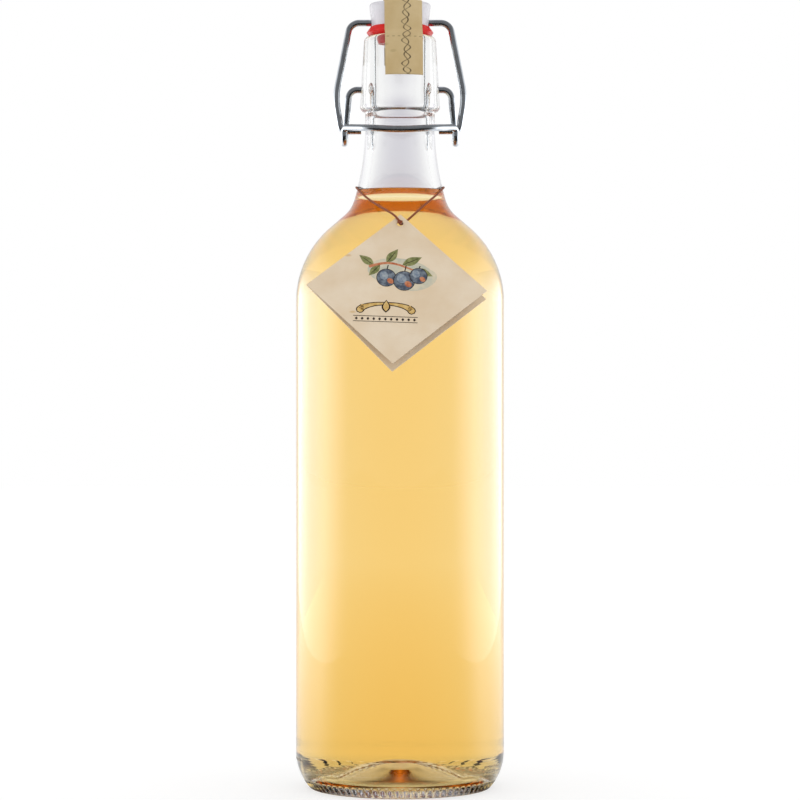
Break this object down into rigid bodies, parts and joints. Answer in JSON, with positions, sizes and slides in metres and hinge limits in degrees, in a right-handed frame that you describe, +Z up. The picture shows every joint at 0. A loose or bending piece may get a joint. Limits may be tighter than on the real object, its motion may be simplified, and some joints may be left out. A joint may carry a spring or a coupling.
{
  "type": "swing-top bottle of plum brandy",
  "caption": "Clear glass swing-top bottle of golden plum brandy, shut by a white stopper and wire bail under a paper seal, with a folded card tag on a string.",
  "frame": {"origin": "middle of the base, on the surface the bottle stands on", "axes": "+Z up along the bottle's axis, -Y towards the viewer, where the tag hangs, +X to the viewer's right"},
  "size_m": [0.0844, 0.111, 0.3193],
  "materials": {
    "clear_glass": "polished",
    "golden_brandy": "clear golden liquid",
    "white_porcelain": "white glaze",
    "red_rubber": "smooth red rubber",
    "steel_wire": "drawn wire",
    "seal_paper": "tan paper with flecks",
    "tag_paper": "flecked cream card",
    "brown_string": "twisted rust-brown string"
  },
  "bodies": {
    "root": {"glass_bottle": "clear_glass", "plum_brandy": "golden_brandy", "stopper": "white_porcelain", "seal_ring": "red_rubber", "seal_strip": "seal_paper", "lever": "steel_wire", "head_bail": "steel_wire", "tag_card": "tag_paper", "tag_string": "brown_string", "tag_knot": "brown_string"}
  },
  "joints": []
}
